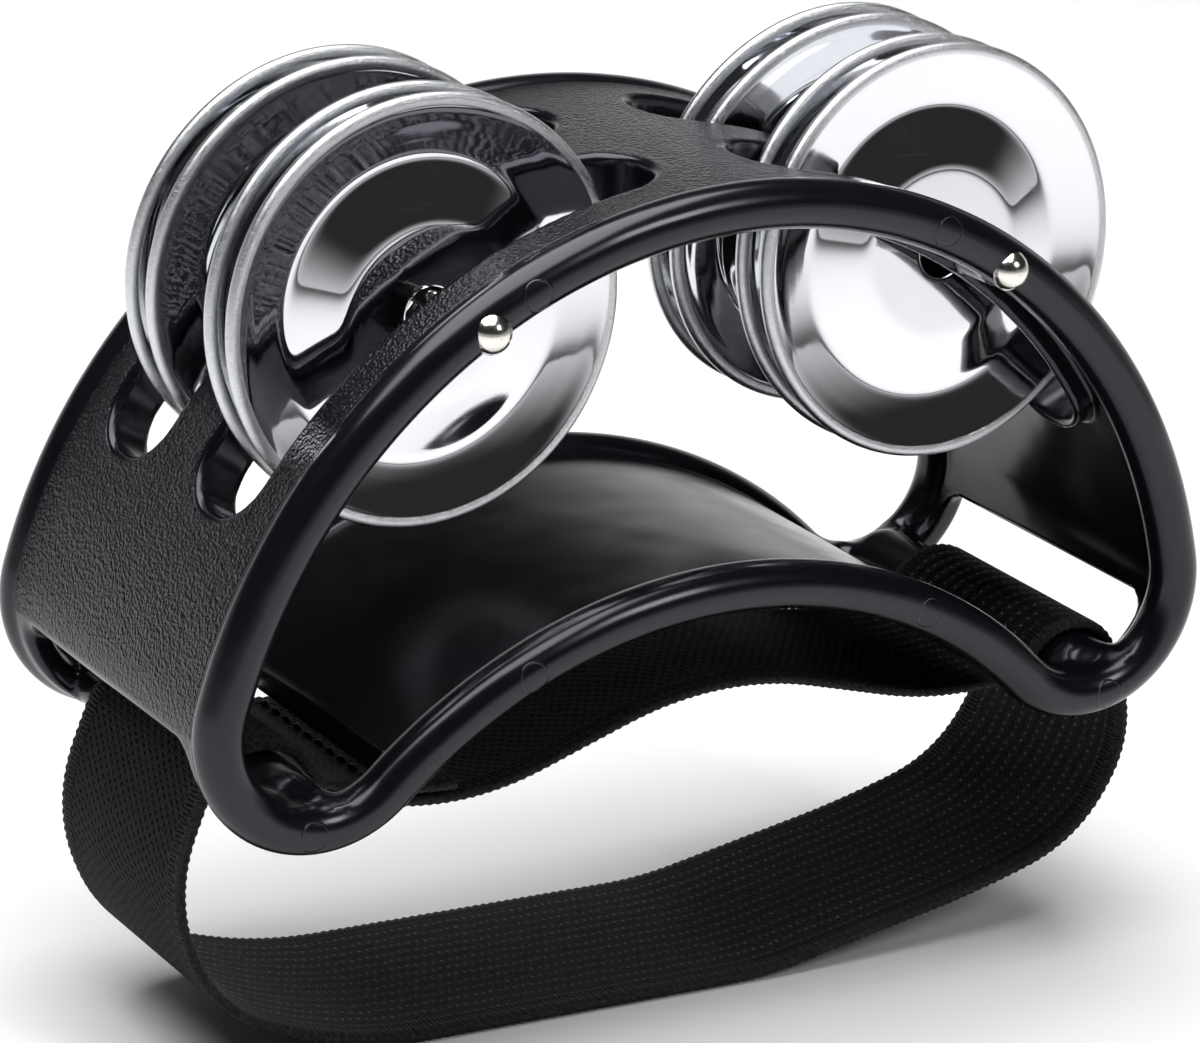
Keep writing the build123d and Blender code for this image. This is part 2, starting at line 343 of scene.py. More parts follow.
def surface_net(distance, low, high, cell):
    """A closed mesh of even quads on the zero surface of a distance, as points and faces."""
    axes = [np.arange(low[i], high[i] + cell, cell) for i in range(3)]
    grid = np.stack(np.meshgrid(*axes, indexing="ij"), axis=-1)
    value = distance(grid)
    for _ in range(CLOSE_PASSES):
        join_diagonals(value)
    inside = value < 0
    shape = np.array(value.shape) - 1

    def at(array, corner):
        i, j, k = corner
        return array[i : i + shape[0], j : j + shape[1], k : k + shape[2]]

    count = sum(at(inside, c).astype(np.int8) for c in CORNERS)
    active = (count > 0) & (count < 8)
    number = np.full(shape, -1)
    number[active] = np.arange(active.sum())
    total = np.zeros((active.sum(), 3))
    hits = np.zeros(active.sum())
    for a, b in EDGES:
        fa, fb = at(value, a)[active], at(value, b)[active]
        crossed = (fa < 0) != (fb < 0)
        share = np.where(crossed, fa / np.where(crossed, fa - fb, 1), 0)
        spot = np.array(a) + share[:, None] * (np.array(b) - np.array(a))
        total += np.where(crossed[:, None], spot, 0)
        hits += crossed
    base = np.argwhere(active)
    points = (base + total / hits[:, None]) * cell + np.array([a[0] for a in axes])

    faces = []
    for axis in range(3):
        u, v = (axis + 1) % 3, (axis + 2) % 3
        ahead = [slice(None)] * 3
        ahead[axis] = slice(1, None)
        behind = [slice(None)] * 3
        behind[axis] = slice(None, -1)
        first, second = inside[tuple(behind)], inside[tuple(ahead)]
        for flip, crossed in ((False, first & ~second), (True, second & ~first)):
            cells = np.argwhere(crossed)
            ring = []
            for du, dv in ((-1, -1), (0, -1), (0, 0), (-1, 0)):
                near = cells.copy()
                near[:, u] += du
                near[:, v] += dv
                ring.append(number[tuple(near.T)])
            quad = np.stack(ring, axis=1)
            faces.append(quad[:, ::-1] if flip else quad)
    return points, np.concatenate(faces)


def slope(distance, points):
    """The direction in which a distance grows, at each point."""
    found = np.zeros_like(points)
    for axis in range(3):
        step = np.zeros(3)
        step[axis] = SLOPE_STEP
        found[:, axis] = distance(points + step) - distance(points - step)
    return found / np.maximum(np.linalg.norm(found, axis=1, keepdims=True), 1e-9)


def mesh_object(name, points, faces, normals=None):
    """A smooth-shaded object from points in millimetres."""
    mesh = bpy.data.meshes.new(name)
    mesh.from_pydata((np.asarray(points) * MM).tolist(), [], [list(map(int, f)) for f in faces])
    mesh.shade_smooth()
    if normals is not None:
        mesh.normals_split_custom_set_from_vertices(np.asarray(normals).tolist())
    obj = bpy.data.objects.new(name, mesh)
    bpy.context.scene.collection.objects.link(obj)
    return obj


def grain_depth(p):
    """How far a point is inside the grained areas: the outer wall, away from its edges."""
    x, y, z = np.abs(p[:, 0]), np.abs(p[:, 1]), p[:, 2]
    along = ARCH_R * np.arctan2(x, z - ARCH_Z)
    depth = np.minimum(profile_offset(x, z) - WALL_OUT + GRAIN_REACH, GRAIN_Y - y)
    depth = np.minimum(depth, slot_distance(along, y) - SLOT_BORDER)
    on_saddle = np.arctan2(x, z - SADDLE_Z) < SADDLE_TURN
    above_saddle = np.hypot(x, z - ARCH_Z) > ARCH_R - 2 * LOBE_R
    depth = np.where(on_saddle & ~above_saddle, -1.0, depth)
    return np.minimum(depth, z - WALL_END_Z - LIP)


def store(obj, name, values):
    """Keep one number for each vertex, for the materials to read."""
    attribute = obj.data.attributes.new(name, "FLOAT", "POINT")
    attribute.data.foreach_set("value", np.asarray(values, np.float32))


def make_frame():
    """The moulding: beads, grained walls, slot collars, centre rib and strap bars, with fillets."""
    points, faces = surface_net(frame_distance, FRAME_LOW, FRAME_HIGH, FRAME_CELL)
    for _ in range(SETTLE_STEPS):
        way = slope(frame_distance, points)
        move = np.clip(frame_distance(points), -FRAME_CELL / 2, FRAME_CELL / 2)
        points = points - way * move[:, None]
    moulding = mesh_object("frame_moulding", points, faces, slope(frame_distance, points))
    store(moulding, "grain", grain_depth(points))
    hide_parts("frame")
    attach(moulding, "body")
    return moulding


# ---------------------------------------------------------------- turned and pressed metal
def ring_quads(here, ahead):
    """The quads between each ring of points and the next."""
    quads = [here, np.roll(here, -1, 1), np.roll(ahead, -1, 1), ahead]
    return np.stack(quads, -1).reshape(-1, 4)


def turned(section, segments, extra=None):
    """A solid of revolution about Y from a closed section of (radius, height) points."""
    section = np.asarray(section, float)
    rings = len(section)
    angle = np.arange(segments) * 2 * math.pi / segments
    radius, height = section[:, 0], section[:, 1]
    points = np.empty((segments, rings, 3))
    points[..., 0] = np.cos(angle)[:, None] * radius
    points[..., 1] = -np.broadcast_to(height, (segments, rings))
    points[..., 2] = np.sin(angle)[:, None] * radius
    if extra is not None:
        points[..., 1] -= extra(angle[:, None], radius[None, :])
    index = np.arange(segments * rings).reshape(segments, rings)
    ahead = np.roll(index, -1, axis=0)
    return points.reshape(-1, 3), ring_quads(index, ahead)


def thick_section(line, thickness):
    """The closed outline of a sheet of even thickness, from the line along its middle."""
    line = np.asarray(line, float)
    way = np.gradient(line, axis=0)
    way /= np.linalg.norm(way, axis=1, keepdims=True)
    across = np.stack([-way[:, 1], way[:, 0]], axis=1) * thickness / 2
    round_end = []
    for end, sign in ((-1, 1), (0, -1)):
        middle, out, side = line[end], sign * way[end] * thickness / 2, sign * across[end]
        cap = [middle + out * math.sin(t) + side * math.cos(t) for t in (0.6, 1.1, 2.0, 2.5)]
        round_end.append(cap)
    return np.concatenate([line + across, round_end[0], (line - across)[::-1], round_end[1]])


def disc_line():
    """The middle of a jingle's sheet, from its hole to the end of the curl round its rim."""
    fine = np.arange(HOLE_R + SHEET / 2, DISC_R - RIM_R - CURL_GAP, 0.05)
    at, level = np.array(DISC_SHAPE).T
    spread = np.linspace(-3, 3, 25)
    weight = np.exp(-(spread**2) / 2)
    height = sum(w * np.interp(fine + KNEE * t, at, level) for w, t in zip(weight, spread))
    flat = np.stack([fine, height / weight.sum()], axis=1)
    wire = RIM_R - SHEET / 2
    turn = np.radians(np.linspace(CURL_FROM, CURL_TO, 30))
    rim_x = DISC_R - RIM_R
    curl = np.stack([rim_x + wire * np.cos(turn), RIM_UP + wire * np.sin(turn)], axis=1)
    return np.concatenate([flat[::7], curl])


def make_disc(name, place, seed):
    """One pressed jingle with a rolled rim and the slight unevenness of pressed sheet."""
    rng = np.random.default_rng(seed)
    phase = rng.uniform(0, 2 * math.pi, 4)
    size = rng.uniform(0.4, 1.0, 4) * UNEVEN

    def uneven(angle, radius):
        part = np.clip((radius - UNEVEN_FROM) / UNEVEN_OVER, 0, 1)
        turn = radius / UNEVEN_TWIST
        waves = [a * np.sin(k * angle + p + turn) for k, a, p in zip(range(2, 6), size, phase)]
        return part * sum(waves)

    line = disc_line()
    points, faces = turned(thick_section(line, SHEET), SEGMENTS, uneven)
    radius = np.hypot(points[:, 0], points[:, 2])
    moved = (np.array(place.to_3x3()) @ points.T).T + np.array(place.translation)
    disc = mesh_object(name, moved, faces)
    store(disc, "radius", radius)
    store(disc, "turn_x", points[:, 0])
    store(disc, "turn_z", points[:, 2])
    return disc


def make_discs():
    """The eight jingles, each on its own body."""
    seed = 0
    for side, x in (("left", -PIN_X), ("right", PIN_X)):
        for end, turn in (("front", 0), ("rear", 180)):
            sign = -1 if end == "front" else 1
            slant = Matrix.Rotation(math.radians(sign * LEAN[side]), 4, "X")
            for which, y, facing in (("outer", OUTER_Y, turn), ("inner", INNER_Y, 180 - turn)):
                seed += 1
                spin = Matrix.Rotation(math.radians(facing), 4, "Z")
                place = Matrix.Translation((x, sign * y, DISC_Z)) @ slant @ spin
                node = f"{side}_{end}_{which}_disc"
                disc = make_disc(f"{side}_{end}_{which}_jingle", place, seed)
                disc.data.materials.append(jingle_steel)
                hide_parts(node)
                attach(disc, f"{side}_{end}_{which}")


def make_pins():
    """The two rivets that carry the jingles: a domed head, a straight shank and a bevelled tip."""
    dome_r = (HEAD_R**2 + HEAD_HEIGHT**2) / (2 * HEAD_HEIGHT)
    edge = math.asin((HEAD_R - HEAD_EDGE) / dome_r)
    seat, tip = -HEAD_SEAT_Y, -PIN_TIP_Y
    centre = seat + HEAD_HEIGHT - dome_r
    dome = np.linspace(AXIS_GAP, edge, 22)
    section = [(dome_r * math.sin(t), centre + dome_r * math.cos(t)) for t in dome]
    for t in (0.9, 1.3):
        around = HEAD_R - HEAD_EDGE + HEAD_EDGE * math.sin(t)
        section.append((around, seat + HEAD_EDGE * (1.2 + math.cos(t))))
    section += [(HEAD_R, seat + HEAD_EDGE), (HEAD_R, seat + 0.05), (HEAD_R - 0.06, seat)]
    section += [(PIN_R + HEAD_EDGE, seat), (PIN_R, seat - HEAD_EDGE)]
    section += [(PIN_R, h) for h in np.linspace(seat - 0.6, tip + TIP_CHAMFER, 40)]
    section += [(PIN_R - 0.05, tip + 0.3), (PIN_R - TIP_CHAMFER, tip), (AXIS_GAP, tip)]
    for side, x in (("left", -PIN_X), ("right", PIN_X)):
        points, faces = turned(section, PIN_SEGMENTS)
        points = points + np.array([x, 0, PIN_Z])
        pin = mesh_object(f"{side}_rivet", points, faces)
        pin.data.materials.append(pin_steel)
        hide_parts(f"{side}_pin")
        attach(pin, "body")


# ---------------------------------------------------------------- strap
def rounded_route(route, step):
    """Points along a closed route of straight runs and tangent arcs, a step apart."""
    corners = np.array([(x, z) for x, z, bend in route])
    found = []
    for at, (x, z, bend) in enumerate(route):
        here = corners[at]
        back, ahead = corners[at - 1] - here, corners[(at + 1) % len(route)] - here
        short = min(np.linalg.norm(back), np.linalg.norm(ahead))
        back, ahead = back / np.linalg.norm(back), ahead / np.linalg.norm(ahead)
        half = math.acos(np.clip(back @ ahead, -1, 1)) / 2
        bend = bend or 0.47 * short * math.tan(half)
        middle = (back + ahead) / np.linalg.norm(back + ahead)
        centre = here + middle * bend / math.sin(half)
        start, end = here + back * bend / math.tan(half), here + ahead * bend / math.tan(half)
        first = math.atan2(start[1] - centre[1], start[0] - centre[0])
        sweep = math.atan2(end[1] - centre[1], end[0] - centre[0]) - first
        sweep = (sweep + math.pi) % (2 * math.pi) - math.pi
        for t in np.linspace(0, 1, max(3, int(abs(sweep) * bend / BEND_STEP))):
            turn = first + t * sweep
            found.append(centre + bend * np.array([math.cos(turn), math.sin(turn)]))
    found = np.array(found + found[:1])
    length = np.concatenate([[0], np.cumsum(np.linalg.norm(np.diff(found, axis=0), axis=1))])
    count = int(round(length[-1] / step))
    at = np.arange(count) * length[-1] / count
    line = np.stack([np.interp(at, length, found[:, i]) for i in (0, 1)], axis=1)
    return line, length[-1] / count


def blur_loop(values, width):
    """A closed list of values, smoothed over a width in samples."""
    reach = int(3 * width) + 1
    weight = np.exp(-((np.arange(-reach, reach + 1) / width) ** 2) / 2)
    weight /= weight.sum()
    return sum(w * np.roll(values, k, axis=0) for w, k in zip(weight, range(-reach, reach + 1)))


def strap_line():
    """The strap's middle line with its lap: points, outward normals, and distances along it."""
    line, step = rounded_route(STRAP_ROUTE, PICK / STEPS_PER_PICK)
    line = blur_loop(line, STRAP_SMOOTH / step)
    lower_run = np.where(line[:, 1] < BAR_Z / 2, BAR_Z, 0)
    middle = int(np.argmin(np.abs(line[:, 0] - LAP_X) + lower_run))
    lap = int(round(LAP / step / 2)) * 2
    line = np.roll(line, lap // 2 - middle, axis=0)
    line = np.concatenate([line, line[: lap + 1]])
    way = np.gradient(line, axis=0)
    way /= np.linalg.norm(way, axis=1, keepdims=True)
    out = np.stack([-way[:, 1], way[:, 0]], axis=1)
    at = np.arange(len(line)) * step
    return line, out, at, step, lap


def strap_section(at):
    """The webbing's outline at each step: across, thickness and face, with beaded corded edges."""
    half = STRAP_WIDTH / 2
    flat = half - FLAT_IN
    across = np.linspace(-flat, flat, 66)
    cord = np.linspace(0, math.pi, 13)
    bead = 0.5 + 0.5 * np.cos(2 * math.pi * at / PICK)
    rings = np.empty((len(at), 2 * len(across) + 2 * len(cord), 2))
    rib = RIB_HEIGHT * np.cos(2 * math.pi * across / RIB_PITCH)
    top = np.stack([across, np.full_like(across, FACE_UP)], axis=1)
    bottom = np.stack([-across, -FACE_DOWN - rib[::-1]], axis=1)
    rings[:, : len(across)] = top
    rings[:, len(across) + len(cord) : 2 * len(across) + len(cord)] = bottom
    cord_r = CORD_R + CORD_BEAD * bead
    centre = half - CORD_IN
    for side, first in ((1, len(across)), (-1, 2 * len(across) + len(cord))):
        start = math.pi / 2 if side > 0 else -math.pi / 2
        turn = start - cord
        rings[:, first : first + len(cord), 0] = side * centre + np.outer(cord_r, np.cos(turn))
        rings[:, first : first + len(cord), 1] = np.outer(cord_r, np.sin(turn))
    return rings


def make_strap():
    """The elastic webbing: one strip that goes once round, with its ends lapped and sewn."""
    line, out, at, step, lap = strap_line()
    count = len(line)
    rise = np.clip((np.arange(count) - (count - lap - 1 - RAMP / step)) / (RAMP / step), 0, 1)
    rise = (rise * rise * (3 - 2 * rise)) * (STRAP + LAP_GAP)
    section = strap_section(at)
    ring = section.shape[1]
    centre_y = -STRAP_SKEW * (line[:, 0] + STRAP_REACH) / (2 * STRAP_REACH)
    lift = section[..., 1] + rise[:, None]
    points = np.empty((count, ring, 3))
    points[..., 0] = line[:, 0, None] + out[:, 0, None] * lift
    points[..., 1] = centre_y[:, None] + section[..., 0]
    points[..., 2] = line[:, 1, None] + out[:, 1, None] * lift
    index = np.arange(count * ring).reshape(count, ring)
    faces = ring_quads(index[:-1], index[1:]).tolist()
    faces += [index[0][::-1].tolist(), index[-1].tolist()]
    strap = mesh_object("strap_webbing", points.reshape(-1, 3), faces)
    store(strap, "along", np.repeat(at, ring))
    store(strap, "across", section[..., 0].ravel())
    store(strap, "face", section[..., 1].ravel())
    strap.data.materials.append(webbing)
    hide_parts("strap")
    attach(strap, "body")
    return strap


def make_stitching():
    """Rows of thread across the lap; each stitch is an arch with both ends in the webbing."""
    line, out, _, step, lap = strap_line()
    points, faces = [], []
    sides, along = 8, 9
    for row in range(STITCH_ROWS):
        where = (STITCH_EDGE + (LAP - 2 * STITCH_EDGE) * row / (STITCH_ROWS - 1)) / step
        spot = len(line) - lap - 1 + int(where)
        base, up = line[spot], out[spot]
        way = np.array([up[1], -up[0]])
        for number in range(STITCHES):
            y_mid = -STRAP_SKEW * (base[0] + STRAP_REACH) / (2 * STRAP_REACH)
            y_mid += (number - (STITCHES - 1) / 2) * (STRAP_WIDTH - STITCH_MARGIN) / STITCHES
            first = len(points)
            for k in range(along):
                t = k / (along - 1)
                y = y_mid + (t - 0.5) * STITCH
                height = STRAP + 0.7 + THREAD_R * (1.5 * math.sin(math.pi * t) - 0.6)
                for j in range(sides):
                    turn = 2 * math.pi * j / sides
                    thin = THREAD_R * (0.75 + 0.25 * math.sin(math.pi * t))
                    point = base + up * (height + thin * math.sin(turn))
                    point = point + way * thin * math.cos(turn)
                    points.append((point[0], y, point[1]))
            for k in range(along - 1):
                for j in range(sides):
                    a, b = first + k * sides + j, first + k * sides + (j + 1) % sides
                    faces.append((a, b, b + sides, a + sides))
            faces.append(tuple(first + j for j in range(sides))[::-1])
            faces.append(tuple(first + (along - 1) * sides + j for j in range(sides)))
    stitching = mesh_object("strap_stitches", points, faces)
    stitching.data.materials.append(thread)
    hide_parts("strap_stitching")
    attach(stitching, "body")
    return stitching


# ---------------------------------------------------------------- materials
class Shader:
    """One procedural material: a Principled shader, with short ways to add nodes that feed it."""

    def __init__(self, name, **constants):
        self.material = bpy.data.materials.new(name)
        self.material.use_nodes = True
        self.tree = self.material.node_tree
        self.surface = self.tree.nodes["Principled BSDF"]
        for socket, value in constants.items():
            self.surface.inputs[socket.replace("_", " ")].default_value = value

    def plug(self, value, socket):
        """Feed a socket from another node's output, or set it to a plain value."""
        if isinstance(value, bpy.types.NodeSocket):
            self.tree.links.new(value, socket)
        else:
            socket.default_value = value

    def put(self, socket, value):
        self.plug(value, self.surface.inputs[socket])

    def field(self, name):
        """A number that the mesh holds for each vertex."""
        node = self.tree.nodes.new("ShaderNodeAttribute")
        node.attribute_name = name
        return node.outputs["Fac"]

    def math(self, operation, a, b=0.0, c=0.0):
        node = self.tree.nodes.new("ShaderNodeMath")
        node.operation = operation
        for value, socket in zip((a, b, c), node.inputs):
            self.plug(value, socket)
        return node.outputs[0]

    def ease(self, value, low, high):
        """0 below low and 1 above high, with a smooth step between them."""
        node = self.tree.nodes.new("ShaderNodeMapRange")
        node.interpolation_type = "SMOOTHSTEP"
        for socket, number in zip(node.inputs, (value, low, high)):
            self.plug(number, socket)
        return node.outputs[0]

    def mix(self, share, a, b):
        """A number between a and b."""
        node = self.tree.nodes.new("ShaderNodeMapRange")
        for socket, number in zip(node.inputs, (share, 0.0, 1.0, a, b)):
            self.plug(number, socket)
        return node.outputs[0]

    def blend(self, share, a, b):
        """A colour between a and b."""
        node = self.tree.nodes.new("ShaderNodeMix")
        node.data_type = "RGBA"
        self.plug(share, node.inputs["Factor"])
        for colour, socket in ((a, node.inputs[6]), (b, node.inputs[7])):
            linked = isinstance(colour, bpy.types.NodeSocket)
            self.plug(colour if linked else (*colour, 1.0), socket)
        return node.outputs[2]

    def vector(self, x, y, z):
        node = self.tree.nodes.new("ShaderNodeCombineXYZ")
        for value, socket in zip((x, y, z), node.inputs):
            self.plug(value, socket)
        return node.outputs[0]

    def place(self):
        """The point on the piece at rest, in metres."""
        return self.tree.nodes.new("ShaderNodeTexCoord").outputs["Object"]

    def axes(self):
        """The X, Y and Z of that point."""
        node = self.tree.nodes.new("ShaderNodeSeparateXYZ")
        self.plug(self.place(), node.inputs[0])
        return node.outputs

    def noise(self, size, detail=2.0, at=None):
        """Cloudy noise with lumps about size metres wide, or size units of the point given."""
        node = self.tree.nodes.new("ShaderNodeTexNoise")
        self.plug(at if at is not None else self.place(), node.inputs["Vector"])
        node.inputs["Scale"].default_value = 1.0 / size
        node.inputs["Detail"].default_value = detail
        return node.outputs["Fac"]

    def cells(self, size):
        """Distance to the middle of the nearest rounded cell, about size metres across."""
        node = self.tree.nodes.new("ShaderNodeTexVoronoi")
        node.feature = "SMOOTH_F1"
        self.plug(self.place(), node.inputs["Vector"])
        node.inputs["Scale"].default_value = 1.0 / size
        return node.outputs["Distance"]

    def bump(self, height, depth, normal=None):
        """A relief of that depth in metres."""
        node = self.tree.nodes.new("ShaderNodeBump")
        node.inputs["Distance"].default_value = depth
        self.plug(height, node.inputs["Height"])
        if normal is not None:
            self.plug(normal, node.inputs["Normal"])
        return node.outputs[0]


def black_plastic():
    """Glossy black moulding, with a pebbled outer wall and faint round moulding marks."""
    s = Shader("black_plastic", IOR=1.5, Specular_IOR_Level=0.45, Specular_Tint=COOL_TINT)
    grained = s.ease(s.field("grain"), -0.08, 0.12)
    pebbles = s.cells(GRAIN)
    coarse = s.noise(1.5 * GRAIN, 2.0)
    fine = s.noise(0.5 * GRAIN, 2.0)
    relief = s.math("ADD", s.math("MULTIPLY", pebbles, 0.9), s.math("MULTIPLY", coarse, 0.7))
    relief = s.math("ADD", relief, s.math("MULTIPLY", fine, 0.3))
    relief = s.math("MULTIPLY", relief, grained)
    here = s.axes()
    from_mark = 1.0
    for centre_x, centre_z, radius, angle in EJECTOR_MARKS:
        x = centre_x + radius * math.sin(math.radians(angle))
        z = centre_z + radius * math.cos(math.radians(angle))
        over = s.math("SUBTRACT", here["X"], x * MM)
        up = s.math("SUBTRACT", here["Z"], z * MM)
        squares = s.math("ADD", s.math("MULTIPLY", over, over), s.math("MULTIPLY", up, up))
        from_mark = s.math("MINIMUM", from_mark, s.math("SQRT", squares))
    away = s.math("ABSOLUTE", s.math("SUBTRACT", s.math("MULTIPLY", from_mark, 1 / MM), MARK_R))
    on_rim = s.ease(s.math("ABSOLUTE", here["Y"]), BEAD_Y * MM, (BEAD_Y + 0.5) * MM)
    ring = s.math("MULTIPLY", s.math("SUBTRACT", 1.0, s.ease(away, 0.0, 0.14)), on_rim)
    waves = s.noise(0.011, 1.0)
    normal = s.bump(waves, SINK_DEPTH)
    normal = s.bump(ring, MARK_DEPTH, normal)
    normal = s.bump(relief, GRAIN_RELIEF, normal)
    s.put("Normal", normal)
    smears = s.noise(0.006, 4.0)
    smooth = s.mix(smears, 0.14, 0.26)
    s.put("Roughness", s.mix(grained, smooth, 0.27))
    s.put("Specular IOR Level", s.mix(grained, 0.45, 0.33))
    dust = s.ease(s.noise(0.0016, 6.0), 0.58, 0.8)
    base = s.blend(grained, SMOOTH_BLACK, GRAINED_BLACK)
    s.put("Base Color", s.blend(s.math("MULTIPLY", dust, 0.15), base, DUST_GREY))
    return s.material


def bright_steel():
    """Plated jingle steel: mirror bright, with satin rims, faint turning lines and scratches."""
    s = Shader("bright_steel", Metallic=1.0)
    radius = s.field("radius")
    rim = s.ease(radius, DISC_R - 2 * RIM_R + 0.1, DISC_R - 2 * RIM_R + 0.5)
    x, z = s.field("turn_x"), s.field("turn_z")
    lines = s.noise(0.35, 2.0, s.vector(radius, 0.0, 0.0))
    drawn = s.vector(s.math("MULTIPLY", x, 0.3), s.math("MULTIPLY", z, 3.0), 0.0)
    streaks = s.noise(0.12, 3.0, drawn)
    drawn = s.vector(s.math("MULTIPLY", x, 3.0), s.math("MULTIPLY", z, 0.3), 0.0)
    crossed = s.noise(0.12, 3.0, drawn)
    hatch = s.math("MULTIPLY", s.math("ADD", streaks, crossed), rim)
    smudge = s.ease(s.noise(0.009, 5.0), 0.45, 0.75)
    drawn = s.vector(s.math("MULTIPLY", x, 0.4), s.math("MULTIPLY", z, 6.0), 3.0)
    scratch = s.ease(s.noise(2.2, 5.0, drawn), 0.62, 0.66)
    normal = s.bump(s.noise(0.010, 1.0), 0.00005)
    normal = s.bump(lines, 0.0000012, normal)
    normal = s.bump(hatch, 0.00003, normal)
    s.put("Normal", normal)
    face = s.mix(smudge, 0.045, 0.09)
    face = s.math("ADD", face, s.math("MULTIPLY", scratch, 0.03))
    s.put("Roughness", s.mix(rim, face, 0.19))
    s.put("Base Color", s.blend(rim, FACE_STEEL, RIM_STEEL))
    return s.material


def warm_nickel():
    """Nickel plating on the rivets, a little warm, with faint polishing marks."""
    s = Shader("warm_nickel", Metallic=1.0)
    s.put("Roughness", s.mix(s.noise(0.0008, 4.0), 0.10, 0.24))
    s.put("Base Color", s.blend(s.noise(0.002, 3.0), (0.80, 0.77, 0.70), (0.86, 0.84, 0.79)))
    s.put("Normal", s.bump(s.noise(0.0004, 3.0), 0.000008))
    return s.material


def black_webbing():
    """Knitted elastic: ribs with painted glints along them, pits where it is stretched, corded
    edges; painted shade in the pits, painted highlights on rib crests and raised plies.
    """
    s = Shader("black_webbing")
    along, across, face = s.field("along"), s.field("across"), s.field("face")
    here = s.axes()
    outer = s.math("MULTIPLY", s.ease(face, -0.1, 0.1), s.ease(here["X"], *STRETCHED_X))
    out_from_middle = s.math("ABSOLUTE", across)
    half = STRAP_WIDTH / 2
    edge = s.ease(out_from_middle, half - 1.35, half - 1.15)
    border = s.ease(out_from_middle, half - 3.4, half - 2.9)
    from_seam = s.math("ABSOLUTE", s.math("SUBTRACT", out_from_middle, half - FLAT_IN))
    seam = s.math("SUBTRACT", 1.0, s.ease(from_seam, 0.1, 0.28))
    cloud = s.noise(3.0, 2.0, s.vector(along, across, face))
    wobble = s.math("MULTIPLY", s.math("SUBTRACT", cloud, 0.5), 0.8)
    u, v = s.math("ADD", across, wobble), s.math("ADD", along, wobble)

    def wave(value, pitch, shift=0.0):
        """A cosine that repeats every two pitches."""
        return s.math("COSINE", s.math("MULTIPLY_ADD", value, math.pi / pitch, shift))

    pits = s.ease(s.math("MULTIPLY", wave(u, 0.9), wave(v, PICK * 0.6)), 0.0, 0.75)
    twill = wave(s.math("ADD", u, v), PLY)
    plies = s.math("MULTIPLY", twill, wave(s.math("SUBTRACT", u, v), PLY))
    outer_height = s.math("ADD", s.math("SUBTRACT", 1.0, pits), s.math("MULTIPLY", plies, 0.16))

    rib = wave(u, RIB_PITCH / 2)
    between_ribs = s.ease(wave(u, RIB_PITCH / 2, 0.9), 0.62, 0.95)
    dots = s.math("MULTIPLY", between_ribs, s.ease(wave(v, PICK / 2), 0.1, 0.9))
    fine = s.math("MULTIPLY", wave(v, 0.29), wave(u, 0.27))
    inner_height = s.math("ADD", s.math("MULTIPLY", rib, 0.5), s.math("MULTIPLY", fine, 0.25))
    inner_height = s.math("ADD", inner_height, s.math("MULTIPLY", dots, 0.5))
    height = s.mix(outer, inner_height, outer_height)
    bars = s.math("MULTIPLY", wave(v, PICK / 4), 0.2)
    height = s.mix(border, height, bars)
    twist = s.math("MULTIPLY", wave(s.math("ADD", v, s.math("MULTIPLY", face, 0.7)), 0.16), 0.25)
    height = s.mix(edge, height, twist)
    fuzz = s.noise(0.22, 4.0, s.vector(along, across, face))
    normal = s.bump(fuzz, FUZZ_DEPTH)
    s.put("Normal", s.bump(height, WEAVE_DEPTH, normal))

    drawn = s.vector(s.math("MULTIPLY", along, 0.5), across, face)
    knit = s.ease(s.noise(0.35, 3.0, drawn), 0.42, 0.62)
    # Painted highlight: the rib crests of the inner face are coloured lighter than the grooves.
    rib_crest_highlight = s.math("MULTIPLY", s.ease(rib, -0.3, 0.9), s.mix(outer, knit, 0.0))
    # Painted shade: the pits of the stretched outer face are coloured near black.
    shade = s.blend(s.mix(outer, 0.0, pits), (0.0065, 0.0065, 0.007), (0.0005, 0.0005, 0.0005))
    shade = s.blend(s.math("MULTIPLY", rib_crest_highlight, 0.7), shade, (0.02, 0.02, 0.022))
    # Painted highlight: the raised plies of the stretched face, away from the pits, are coloured
    # lighter.
    raised_ply_highlight = s.math("MULTIPLY", outer, s.mix(pits, 1.0, 0.0))
    raised_ply_highlight = s.math("MULTIPLY", raised_ply_highlight, s.ease(plies, 0.1, 0.7))
    shade = s.blend(s.math("MULTIPLY", raised_ply_highlight, 0.6), shade, (0.045, 0.045, 0.05))
    # Painted highlight: bright glint dots between the ribs of the inner face, broken up by the fuzz.
    painted_glint = s.math("MULTIPLY", dots, s.mix(outer, 1.0, 0.0))
    painted_glint = s.math("MULTIPLY", painted_glint, s.ease(fuzz, 0.40, 0.65))
    shade = s.blend(s.math("MULTIPLY", painted_glint, s.mix(border, 1.0, 0.0)), shade, (0.26, 0.26, 0.27))
    hatch = s.math("MULTIPLY", s.ease(wave(v, PICK / 4), 0.2, 1.0), s.mix(edge, border, 0.0))
    shade = s.blend(s.math("MULTIPLY", hatch, 0.35), shade, (0.02, 0.02, 0.024))
    stitched = s.math("MULTIPLY", seam, s.ease(wave(v, PICK / 2), -0.6, 0.4))
    shade = s.blend(s.math("MULTIPLY", stitched, 0.5), shade, (0.08, 0.08, 0.09))
    shade = s.blend(s.math("MULTIPLY", edge, s.mix(knit, 0.4, 1.0)), shade, (0.04, 0.04, 0.048))
    s.put("Base Color", shade)
    s.put("Specular IOR Level", s.mix(s.ease(face, -0.1, 0.1), 0.22, 0.07))
    s.put("Roughness", s.mix(fuzz, 0.5, 0.8))
    return s.material


def black_thread():
    """Twisted sewing thread, a little shinier than the webbing."""
    s = Shader("black_thread", Specular_IOR_Level=0.2)
    twist = s.noise(0.00018, 2.0)
    s.put("Base Color", s.blend(twist, (0.006, 0.006, 0.007), (0.014, 0.014, 0.015)))
    s.put("Roughness", s.mix(twist, 0.42, 0.6))
    s.put("Normal", s.bump(twist, 0.00006))
    return s.material


